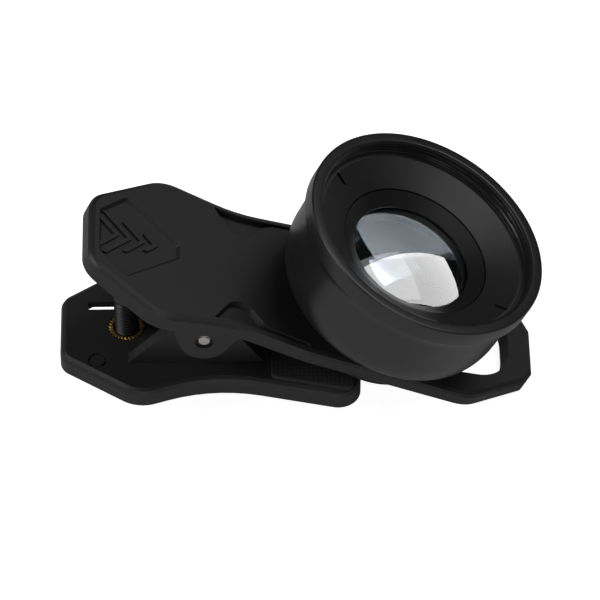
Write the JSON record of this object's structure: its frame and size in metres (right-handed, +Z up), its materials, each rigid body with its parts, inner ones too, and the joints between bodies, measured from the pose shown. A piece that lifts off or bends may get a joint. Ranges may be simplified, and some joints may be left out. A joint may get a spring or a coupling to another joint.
{
  "type": "clip-on phone lens",
  "caption": "Spring clip of two black moulded arms that holds a screw-in close-up lens over a phone's camera, with a tension screw.",
  "frame": {"origin": "middle of the bounding box on the surface that the clip stands on", "axes": "+X from the handles towards the lens and the jaws' front, +Y across the clip, +Z up; the lens axis leans towards +X"},
  "size_m": [0.0772, 0.0404, 0.0404],
  "materials": {
    "arm_plastic": "satin moulded",
    "knob_plastic": "satin moulded",
    "brass": "knurled",
    "pad_rubber": "matte, fine dots",
    "ring_rubber": "matte",
    "seal_rubber": "matte",
    "tip_nylon": "matte",
    "spring_steel": "drawn wire",
    "pin_steel": "straight knurl at its ends",
    "screw_black": "black oxide",
    "ring_black": "black anodised",
    "barrel_black": "black anodised, satin",
    "cell_black": "black anodised, matte",
    "trim_black": "black anodised, satin",
    "retainer_black": "black anodised, matte",
    "coated_glass": "polished and coated",
    "plain_glass": "polished"
  },
  "bodies": {
    "lower_arm": {"lower_arm": "arm_plastic", "threaded_insert": "brass", "lower_jaw_pad": "pad_rubber", "torsion_spring": "spring_steel"},
    "screw_travel": {"screw_tip_pad": "tip_nylon"},
    "tension_screw": {"tension_screw": "screw_black", "thumb_knob": "knob_plastic"},
    "upper_arm": {"upper_arm": "arm_plastic", "hinge_pin": "pin_steel", "mount_ring": "ring_black", "phone_pad": "ring_rubber"},
    "lens_travel": {"thread_seal": "seal_rubber"},
    "lens": {"lens_barrel": "barrel_black", "lens_cell": "cell_black", "trim_ring": "trim_black", "front_retainer": "retainer_black", "front_element": "coated_glass", "spacer_ring": "retainer_black", "crown_element": "plain_glass", "flint_element": "plain_glass", "rear_element": "coated_glass", "rear_retainer": "retainer_black"}
  },
  "joints": [
    {"name": "jaw_hinge", "type": "hinge", "parent": "lower_arm", "child": "upper_arm", "pos_m": [-0.0153, 0, 0.01961], "axis": [0, -1, 0], "range_deg": [0, 28], "stiffness_Nm_per_rad": 0.4, "springref_deg": -5.73, "deforming": ["torsion_spring"]},
    {"name": "screw_slide", "type": "slide", "parent": "lower_arm", "child": "screw_travel", "axis": [0, 0, 1], "range_m": [-0.0063, 0.0021]},
    {"name": "screw_turn", "type": "hinge", "parent": "screw_travel", "child": "tension_screw", "pos_m": [-0.0279, 0, 0], "axis": [0, 0, 1], "range_deg": [-3246, 1086]},
    {"name": "lens_slide", "type": "slide", "parent": "upper_arm", "child": "lens_travel", "axis": [0.4128, 0, 0.9108], "range_m": [0, 0.003]},
    {"name": "lens_turn", "type": "hinge", "parent": "lens_travel", "child": "lens", "pos_m": [0.0122, 0, 0.01417], "axis": [0.4128, 0, 0.9108], "range_deg": [-6, 1446]}
  ],
  "couplings": [
    {"joint": "screw_turn", "follows": "screw_slide", "rad_per_m": 8976},
    {"joint": "lens_turn", "follows": "lens_slide", "rad_per_m": 8377.6}
  ]
}
